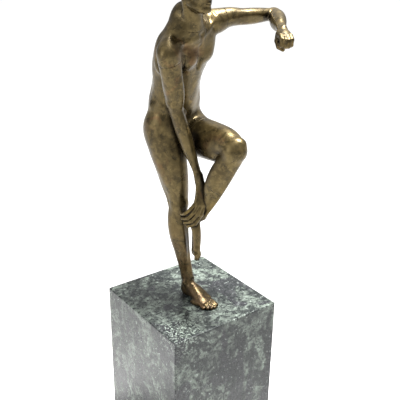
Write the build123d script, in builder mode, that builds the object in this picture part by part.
"""A bronze statuette of a dancer on a marble plinth: one leg stands, one hand holds the raised foot.

The figure is a sectional casting. Its head, both arms and the raised leg are cast apart from the
body, and each one has a round tenon that enters a socket in the body and is held by a cross pin. A
threaded stud and a small dowel fix the standing foot to the plinth, whose recess hides the nut. All
sizes are millimetres. The origin is the middle of the plinth's underside, and +Z is up.
"""

from build123d import *

import os
from dataclasses import dataclass

# Plinth and its felt
PLINTH_SIDE = 80.0
PLINTH_HEIGHT = 98.0
PLINTH_EDGE = 0.8
FELT_THICKNESS = 2.0
FELT_MARGIN = 1.5
FELT_CORNER = 3.0
PLINTH_TOP = FELT_THICKNESS + PLINTH_HEIGHT

# The figure's own frame: its left, its back and up, from the middle of the plinth's top
FACING = 17.5
FIGURE = Plane.XY.offset(PLINTH_TOP).rotated((0, 0, FACING))
LEFT = FIGURE.x_dir
BACK = FIGURE.y_dir
UP = FIGURE.z_dir

# Foot fixing: an M4 stud with its washers and nut in a recess, and a dowel that stops turning
STUD_RADIUS = 2.0
STUD_PLACE = (-0.3, 3.2)
STUD_IN_FOOT = 11.0
STUD_IN_RECESS = 7.0
THREAD_CLEARANCE = 0.05
PLINTH_HOLE_RADIUS = 2.5
RECESS_RADIUS = 10.0
RECESS_DEPTH = 18.0
RECESS_TOP = FELT_THICKNESS + RECESS_DEPTH
WASHER_RADIUS = 7.5
WASHER_THICKNESS = 1.0
SPRING_WASHER_RADIUS = 3.8
SPRING_WASHER_THICKNESS = 1.0
SPRING_WASHER_GAP = 0.8
WASHER_HOLE_RADIUS = 2.2
NUT_ACROSS_FLATS = 7.0
NUT_THICKNESS = 3.2
DOWEL_RADIUS = 1.5
DOWEL_PLACE = (-2.5, -12.0)
DOWEL_IN_FOOT = 3.0
DOWEL_IN_PLINTH = 9.0
DOWEL_CLEARANCE = 0.05
DOWEL_HOLE_DEPTH = DOWEL_IN_PLINTH + 0.5
STUD_CHAMFER = 0.5
DOWEL_CHAMFER = 0.3
NUT_CHAMFER = 0.4
SPRING_WASHER_BASE = RECESS_TOP - WASHER_THICKNESS - SPRING_WASHER_THICKNESS

# Tenon joints
TENON_CLEARANCE = 0.05
SOCKET_SPARE = 0.4
PIN_CLEARANCE = 0.03

# Sections of the forms, each as left, back, up, width and depth
TRUNK_AND_LEG = [
    (-4.6, -1.4, 177.0, 16.0, 17.0),
    (-2.5, 1.5, 170.0, 36.0, 19.0),
    (1.0, 7.0, 161.0, 35.0, 25.0),
    (3.0, 12.5, 150.0, 33.0, 25.0),
    (5.0, 17.0, 138.0, 31.0, 23.0),
    (8.0, 20.5, 125.0, 36.0, 26.0),
    (7.0, 22.0, 113.0, 36.0, 27.0),
    (1.0, 20.0, 102.0, 26.0, 25.0),
    (-1.5, 14.5, 88.0, 18.5, 20.0),
    (-1.0, 10.5, 72.0, 14.5, 15.0),
    (-0.7, 9.4, 64.0, 13.0, 13.5),
    (-0.7, 10.0, 55.0, 12.5, 13.0),
    (-0.6, 9.5, 45.0, 12.5, 13.5),
    (-0.5, 7.0, 31.0, 10.0, 11.0),
    (-0.3, 4.2, 18.0, 8.0, 9.0),
    (-0.3, 2.6, 8.0, 9.0, 12.0),
]
TRUNK_TURN = -12.0
STANDING_FOOT = [
    (-0.5, 9.5, 1.5, 6.5, 8.0),
    (-0.4, 6.0, 2.0, 9.0, 14.0),
    (-0.4, 0.0, 2.0, 9.5, 19.0),
    (-1.0, -6.0, 1.5, 10.5, 14.0),
    (-1.8, -13.0, 0.5, 13.0, 9.5),
    (-2.0, -19.0, 0.0, 12.0, 6.0),
    (-1.8, -23.0, 0.0, 8.0, 3.0),
]
NECK_JOINT = (-5.1, -2.6, 178.0)
NECK_TOP = (-7.8, -7.5, 186.5)
NECK = [(*NECK_JOINT, 13.5, 14.5), (-6.3, -4.8, 182.0, 11.0, 12.5), (*NECK_TOP, 11.5, 12.5)]
HEAD = [
    (-8.2, -11.0, 185.5, 8.0, 8.0),
    (-8.2, -10.0, 188.0, 12.5, 15.0),
    (-8.1, -8.6, 193.0, 16.0, 20.0),
    (-8.0, -7.6, 199.0, 18.5, 24.0),
    (-7.9, -7.0, 204.5, 17.5, 23.0),
    (-7.8, -6.8, 209.0, 11.0, 14.0),
    (-7.8, -6.8, 210.6, 4.0, 5.0),
]
BUN_PLACE = (-7.6, 5.5, 194.5)
BUN_RADIUS = 4.5
RAISED_HIP_JOINT = (12.8, 0.7, 111.8)
RAISED_THIGH = [
    (*RAISED_HIP_JOINT, 20.5, 24.5),
    (9.0, -9.0, 110.0, 19.0, 22.0),
    (3.5, -22.0, 108.5, 15.5, 18.0),
    (-0.5, -32.5, 108.0, 12.5, 14.5),
]
RAISED_KNEE_RADIUS = 6.9
RAISED_SHIN = [
    (-0.5, -32.0, 108.5, 13.0, 14.0),
    (-0.4, -27.0, 99.5, 12.5, 14.0),
    (-0.3, -22.0, 90.5, 13.0, 14.0),
    (-0.2, -15.5, 78.0, 10.0, 11.5),
    (0.0, -10.5, 67.0, 7.5, 8.5),
    (-1.2, -8.0, 61.0, 7.5, 8.5),
]
RAISED_ANKLE = (-2.0, -6.8, 61.0)
RAISED_ANKLE_RADIUS = 4.2
RAISED_FOOT = [
    (-4.4, -3.8, 62.0, 6.0, 7.0),
    (-4.4, -4.8, 56.0, 8.0, 10.0),
    (-4.4, -5.2, 47.0, 9.5, 8.0),
    (-4.4, -5.0, 39.0, 12.0, 6.0),
    (-4.2, -4.8, 32.5, 9.0, 3.5),
]
RAISED_FOOT_TURN = 55.0
HOLDING_SHOULDER_JOINT = (-21.5, -0.2, 158.5)
HOLDING_ARM = [
    (*HOLDING_SHOULDER_JOINT, 11.5, 12.5),
    (-17.0, 0.6, 148.0, 10.5, 11.5),
    (-11.0, 1.6, 134.0, 9.5, 10.0),
    (-7.7, 1.8, 125.6, 9.0, 9.5),
    (-6.0, -0.4, 117.0, 9.5, 9.5),
    (-3.6, -5.0, 102.0, 7.0, 7.5),
    (-1.6, -9.0, 88.0, 4.8, 6.2),
]
HOLDING_HAND = [
    (-1.6, -9.0, 88.5, 4.8, 6.2),
    (-1.8, -10.6, 80.0, 6.0, 9.5),
    (-2.6, -11.0, 71.0, 6.0, 10.5),
    (-4.2, -9.6, 62.5, 5.0, 8.5),
]
RAISED_SHOULDER_JOINT = (22.5, -5.4, 177.7)
RAISED_ARM = [
    (*RAISED_SHOULDER_JOINT, 12.5, 12.0),
    (31.0, -10.5, 178.4, 10.5, 10.5),
    (43.0, -17.0, 178.6, 9.0, 9.5),
    (52.5, -22.3, 178.6, 8.5, 9.0),
]
RAISED_ELBOW_RADIUS = 4.6
RAISED_FOREARM = [
    (53.0, -22.5, 178.6, 8.5, 8.8),
    (45.0, -28.8, 177.8, 8.8, 8.8),
    (35.5, -36.0, 176.2, 7.2, 7.4),
    (27.0, -42.3, 174.4, 5.2, 6.0),
]
FIST = [
    (27.5, -42.0, 174.5, 5.2, 6.0),
    (24.0, -45.0, 173.4, 7.5, 10.0),
    (19.5, -49.3, 171.2, 8.5, 12.5),
    (16.0, -52.8, 169.0, 7.5, 10.5),
    (14.5, -54.4, 168.0, 4.0, 6.0),
]
BREASTS = [(-6.0, -2.4, 157.5), (8.0, -2.6, 160.5)]
BREAST_RADIUS = 7.2
BUTTOCKS = [(0.0, 25.5, 111.0), (15.5, 26.0, 112.5)]
BUTTOCK_RADIUS = 10.5

# The body's stump for each limb: the limb, the direction its widths lie along, and its reach
STUMPS = [(RAISED_THIGH, UP, 14.0), (HOLDING_ARM, BACK, 8.0), (RAISED_ARM, UP, 8.0)]


@dataclass
class Tenon:
    """A limb's tenon joint: its plane, whose normal points into the limb, and its sizes."""

    plane: Plane
    radius: float
    length: float
    pin_radius: float
    pin_length: float

    def pin_plane(self):
        """The plane across the cross pin's middle, half way down the tenon."""
        middle = self.plane.origin - self.plane.z_dir * self.length / 2
        return Plane(origin=middle, x_dir=self.plane.z_dir, z_dir=self.plane.x_dir)


def spot(left, back, up):
    """A point of the figure, from its distances to the left, to the back and up."""
    return FIGURE.from_local_coords(Vector(left, back, up))


def level(centre, height):
    """A horizontal plane over or under a point, at a height above the plinth's underside."""
    return Plane(origin=(centre.X, centre.Y, height), x_dir=(1, 0, 0), z_dir=(0, 0, 1))


def joint_plane(place, towards, wide):
    """The plane of a tenon joint, with its normal from the body into the limb."""
    return Plane(origin=spot(*place), x_dir=wide, z_dir=spot(*towards) - spot(*place))


TENONS = {
    "neck": Tenon(joint_plane(NECK_JOINT, NECK_TOP, LEFT), 3.2, 7.0, 0.8, 10.0),
    "raised_hip": Tenon(joint_plane(RAISED_HIP_JOINT, RAISED_THIGH[1][:3], UP), 5.0, 9.0, 1.2, 18.0),
    "holding_shoulder": Tenon(
        joint_plane(HOLDING_SHOULDER_JOINT, HOLDING_ARM[1][:3], BACK), 2.8, 6.0, 0.8, 8.4
    ),
    "raised_shoulder": Tenon(
        joint_plane(RAISED_SHOULDER_JOINT, RAISED_ARM[1][:3], UP), 2.8, 6.0, 0.8, 8.4
    ),
}
STUD_CENTRE = spot(*STUD_PLACE, 0)
DOWEL_CENTRE = spot(*DOWEL_PLACE, 0)
TRUNK_WIDE = LEFT.rotate(Axis.Z, TRUNK_TURN)


def loft_form(rows, wide):
    """Lofts a limb or trunk into the open casting, through its elliptical sections in turn."""
    middles = [spot(*row[:3]) for row in rows]
    sections = []
    for number, row in enumerate(rows):
        before = middles[max(number - 1, 0)]
        after = middles[min(number + 1, len(rows) - 1)]
        with BuildSketch(Plane(origin=middles[number], x_dir=wide, z_dir=after - before)) as section:
            Ellipse(row[3] / 2, row[4] / 2)
        sections.append(section.sketch)
    loft(sections)


def place_ball(place, radius):
    """Adds a ball to the open casting at a point of the figure."""
    with Locations(spot(*place)):
        Sphere(radius)


def add_stump(limb, wide, reach):
    """Adds to the open body the short root of a limb, in line with the limb's first two sections."""
    start = Vector(*limb[0][:3])
    root = start - (Vector(*limb[1][:3]) - start).normalized() * reach
    loft_form([(*root, *limb[0][3:]), limb[0]], wide)
    place_ball(root, sum(limb[0][3:]) / 4)


def drill(plane, radius, depth):
    """Drills a blind hole into the open piece, from the plane along its normal."""
    with BuildSketch(plane) as outline:
        Circle(radius)
    extrude(outline.sketch, amount=depth, mode=Mode.SUBTRACT)


def drill_for_pin(tenon):
    """Drills a tenon's cross pin hole through whatever the open casting has there."""
    with BuildSketch(tenon.pin_plane()) as outline:
        Circle(tenon.pin_radius + PIN_CLEARANCE)
    extrude(outline.sketch, amount=tenon.pin_length / 2 + PIN_CLEARANCE, both=True, mode=Mode.SUBTRACT)


def add_tenon(tenon):
    """Adds a tenon to the open limb casting, drilled for its cross pin."""
    with BuildSketch(tenon.plane) as outline:
        Circle(tenon.radius)
    extrude(outline.sketch, amount=-tenon.length)
    drill_for_pin(tenon)


def cut_socket(tenon):
    """Cuts a tenon's socket and its cross pin hole in the open body casting."""
    drill(tenon.plane, tenon.radius + TENON_CLEARANCE, -(tenon.length + SOCKET_SPARE))
    drill_for_pin(tenon)


def save(piece, name):
    """Labels a finished piece and writes its STEP file."""
    piece.part.label = name
    export_step(piece.part, f"parts/{name}.step")


# Marble plinth: a block with a clear hole for the stud, a recess under it and a dowel hole
with BuildPart() as marble_plinth:
    with BuildSketch(Plane.XY.offset(FELT_THICKNESS)):
        Rectangle(PLINTH_SIDE, PLINTH_SIDE)
    extrude(amount=PLINTH_HEIGHT)
    fillet(marble_plinth.edges(), radius=PLINTH_EDGE)
    drill(level(STUD_CENTRE, FELT_THICKNESS), RECESS_RADIUS, RECESS_DEPTH)
    drill(level(STUD_CENTRE, FELT_THICKNESS), PLINTH_HOLE_RADIUS, PLINTH_HEIGHT)
    drill(level(DOWEL_CENTRE, PLINTH_TOP), DOWEL_RADIUS + DOWEL_CLEARANCE, -DOWEL_HOLE_DEPTH)

# Felt pad: glued under the plinth, a little smaller than it, and closing the recess
with BuildPart() as felt_pad:
    with BuildSketch(Plane.XY):
        RectangleRounded(PLINTH_SIDE - 2 * FELT_MARGIN, PLINTH_SIDE - 2 * FELT_MARGIN, FELT_CORNER)
    extrude(amount=FELT_THICKNESS)

# Body casting: torso, standing leg and foot, with a stump and a socket for each limb
with BuildPart() as body_casting:
    loft_form(TRUNK_AND_LEG, TRUNK_WIDE)
    loft_form(STANDING_FOOT, LEFT)
    for breast in BREASTS:
        place_ball(breast, BREAST_RADIUS)
    for buttock in BUTTOCKS:
        place_ball(buttock, BUTTOCK_RADIUS)
    for limb, wide, reach in STUMPS:
        add_stump(limb, wide, reach)
    split(bisect_by=FIGURE, keep=Keep.TOP)
    for tenon in TENONS.values():
        cut_socket(tenon)
    drill(level(STUD_CENTRE, PLINTH_TOP), STUD_RADIUS + THREAD_CLEARANCE, STUD_IN_FOOT + SOCKET_SPARE)
    drill(level(DOWEL_CENTRE, PLINTH_TOP), DOWEL_RADIUS + DOWEL_CLEARANCE, DOWEL_IN_FOOT + SOCKET_SPARE)

# Head casting: neck, head and a low knot of hair
with BuildPart() as head_casting:
    loft_form(NECK, LEFT)
    loft_form(HEAD, LEFT)
    place_ball(BUN_PLACE, BUN_RADIUS)
    add(body_casting.part, mode=Mode.SUBTRACT)
    add_tenon(TENONS["neck"])

# Raised leg casting: thigh, knee, shin and the foot that points down
with BuildPart() as raised_leg_casting:
    loft_form(RAISED_THIGH, UP)
    place_ball(RAISED_THIGH[-1][:3], RAISED_KNEE_RADIUS)
    loft_form(RAISED_SHIN, LEFT)
    place_ball(RAISED_ANKLE, RAISED_ANKLE_RADIUS)
    loft_form(RAISED_FOOT, LEFT.rotate(Axis.Z, RAISED_FOOT_TURN))
    add(body_casting.part, mode=Mode.SUBTRACT)
    add_tenon(TENONS["raised_hip"])

# Holding arm casting: the arm that reaches down, its hand fitted to the raised ankle
with BuildPart() as holding_arm_casting:
    loft_form(HOLDING_ARM, BACK)
    loft_form(HOLDING_HAND, LEFT)
    add(body_casting.part, mode=Mode.SUBTRACT)
    add(raised_leg_casting.part, mode=Mode.SUBTRACT)
    add_tenon(TENONS["holding_shoulder"])

# Raised arm casting: the arm held out to the side, its forearm turned forward, and the fist
with BuildPart() as raised_arm_casting:
    loft_form(RAISED_ARM, UP)
    place_ball(RAISED_ARM[-1][:3], RAISED_ELBOW_RADIUS)
    loft_form(RAISED_FOREARM, UP)
    loft_form(FIST, UP)
    add(body_casting.part, mode=Mode.SUBTRACT)
    add_tenon(TENONS["raised_shoulder"])

# Foot stud: plain at the thread's outer size, from the standing ankle down into the recess
with BuildPart() as foot_stud:
    with BuildSketch(level(STUD_CENTRE, RECESS_TOP - STUD_IN_RECESS)):
        Circle(STUD_RADIUS)
    extrude(amount=PLINTH_TOP + STUD_IN_FOOT - RECESS_TOP + STUD_IN_RECESS)
    chamfer(foot_stud.edges(), length=STUD_CHAMFER)

# Foot dowel: keeps the figure from turning about the stud
with BuildPart() as foot_dowel:
    with BuildSketch(level(DOWEL_CENTRE, PLINTH_TOP - DOWEL_IN_PLINTH)):
        Circle(DOWEL_RADIUS)
    extrude(amount=DOWEL_IN_PLINTH + DOWEL_IN_FOOT)
    chamfer(foot_dowel.edges(), length=DOWEL_CHAMFER)

# Plain washer: lies against the roof of the recess
with BuildPart() as plain_washer:
    with BuildSketch(level(STUD_CENTRE, RECESS_TOP - WASHER_THICKNESS)):
        Circle(WASHER_RADIUS)
        Circle(WASHER_HOLE_RADIUS, mode=Mode.SUBTRACT)
    extrude(amount=WASHER_THICKNESS)

# Spring washer: a split ring under the plain washer
with BuildPart() as spring_washer:
    with BuildSketch(level(STUD_CENTRE, SPRING_WASHER_BASE)):
        Circle(SPRING_WASHER_RADIUS)
        Circle(WASHER_HOLE_RADIUS, mode=Mode.SUBTRACT)
        with Locations((SPRING_WASHER_RADIUS / 2, 0)):
            Rectangle(SPRING_WASHER_RADIUS, SPRING_WASHER_GAP, mode=Mode.SUBTRACT)
    extrude(amount=SPRING_WASHER_THICKNESS)

# Hex nut: draws the figure down onto the plinth
with BuildPart() as hex_nut:
    with BuildSketch(level(STUD_CENTRE, SPRING_WASHER_BASE - NUT_THICKNESS)):
        RegularPolygon(NUT_ACROSS_FLATS / 2, 6, major_radius=False)
        Circle(STUD_RADIUS + THREAD_CLEARANCE, mode=Mode.SUBTRACT)
    extrude(amount=NUT_THICKNESS)
    chamfer(hex_nut.edges().filter_by(GeomType.LINE).group_by(Axis.Z)[-1], length=NUT_CHAMFER)

os.makedirs("parts", exist_ok=True)
save(marble_plinth, "marble_plinth")
save(felt_pad, "felt_pad")
save(body_casting, "body_casting")
save(head_casting, "head_casting")
save(raised_leg_casting, "raised_leg_casting")
save(holding_arm_casting, "holding_arm_casting")
save(raised_arm_casting, "raised_arm_casting")
save(foot_stud, "foot_stud")
save(foot_dowel, "foot_dowel")
save(plain_washer, "plain_washer")
save(spring_washer, "spring_washer")
save(hex_nut, "hex_nut")

# Cross pins: one for each tenon joint, peened and chased over at both ends
for joint_name, tenon in TENONS.items():
    with BuildPart() as cross_pin:
        with BuildSketch(tenon.pin_plane()):
            Circle(tenon.pin_radius)
        extrude(amount=tenon.pin_length / 2, both=True)
    save(cross_pin, f"{joint_name}_pin")
